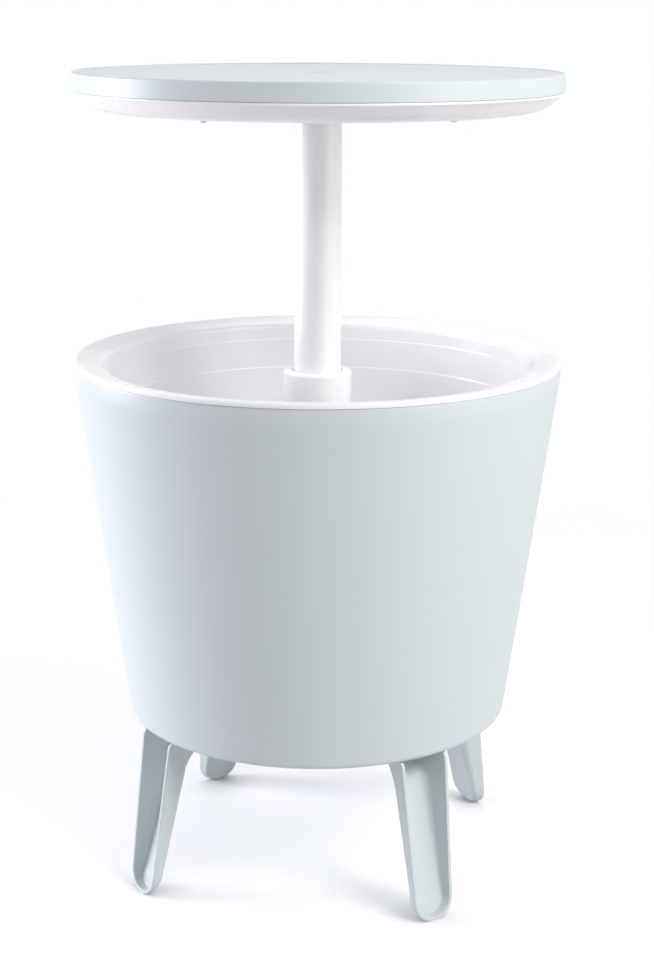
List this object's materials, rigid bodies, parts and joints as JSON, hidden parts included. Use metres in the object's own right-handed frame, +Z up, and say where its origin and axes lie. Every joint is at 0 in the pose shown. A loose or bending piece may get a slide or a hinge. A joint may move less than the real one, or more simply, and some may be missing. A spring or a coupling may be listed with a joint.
{
  "type": "ice bucket coffee table",
  "caption": "Round patio table whose top lifts on a centre pole out of a tapered, double-walled ice bucket on splayed channel legs.",
  "frame": {"origin": "on the floor under the middle of the pole", "axes": "+Z up along the pole, -Y towards the front, +X to the right"},
  "size_m": [0.5044, 0.5044, 0.84],
  "materials": {
    "pale_grey_plastic": "pale blue-grey injection-moulded polypropylene, satin",
    "white_plastic": "white injection-moulded polypropylene, satin",
    "stainless_steel": "stainless screws and tie rod",
    "seal_rubber": "black rubber seal"
  },
  "bodies": {
    "stand": {"outer_shell": "pale_grey_plastic", "inner_liner": "white_plastic", "pole_guide_sleeve": "white_plastic", "sleeve_screw_1": "stainless_steel", "sleeve_screw_2": "stainless_steel", "sleeve_screw_3": "stainless_steel", "sleeve_screw_4": "stainless_steel", "leg_front_right": "pale_grey_plastic", "leg_back_right": "pale_grey_plastic", "leg_back_left": "pale_grey_plastic", "leg_front_left": "pale_grey_plastic", "leg_screw_front_right_1": "stainless_steel", "leg_screw_front_right_2": "stainless_steel", "leg_screw_back_right_1": "stainless_steel", "leg_screw_back_right_2": "stainless_steel", "leg_screw_back_left_1": "stainless_steel", "leg_screw_back_left_2": "stainless_steel", "leg_screw_front_left_1": "stainless_steel", "leg_screw_front_left_2": "stainless_steel", "drain_spout": "white_plastic", "drain_nut_liner": "white_plastic", "drain_nut_shell": "white_plastic"},
    "collar": {"lock_collar": "white_plastic"},
    "lid": {"table_top": "pale_grey_plastic", "top_pan": "white_plastic", "pan_screw_1": "stainless_steel", "pan_screw_2": "stainless_steel", "pan_screw_3": "stainless_steel", "pan_screw_4": "stainless_steel", "pole_head": "white_plastic", "head_screw_1": "stainless_steel", "head_screw_2": "stainless_steel", "head_screw_3": "stainless_steel", "head_screw_4": "stainless_steel", "pole": "white_plastic", "pole_foot": "white_plastic", "tie_rod": "stainless_steel", "tie_rod_washer": "stainless_steel", "tie_rod_nut": "stainless_steel", "centre_cap": "pale_grey_plastic"},
    "plug": {"drain_plug": "white_plastic", "drain_seal": "seal_rubber"}
  },
  "joints": [
    {"name": "lid_twist", "type": "hinge", "parent": "stand", "child": "collar", "pos_m": [0, 0, 0.51], "axis": [0, 0, 1], "range_deg": [0, 90]},
    {"name": "lid_slide", "type": "slide", "parent": "collar", "child": "lid", "axis": [0, 0, 1], "range_m": [-0.2576, 0]},
    {"name": "drain_plug_pull", "type": "slide", "parent": "stand", "child": "plug", "axis": [0, 0, -1], "range_m": [0, 0.03]}
  ]
}
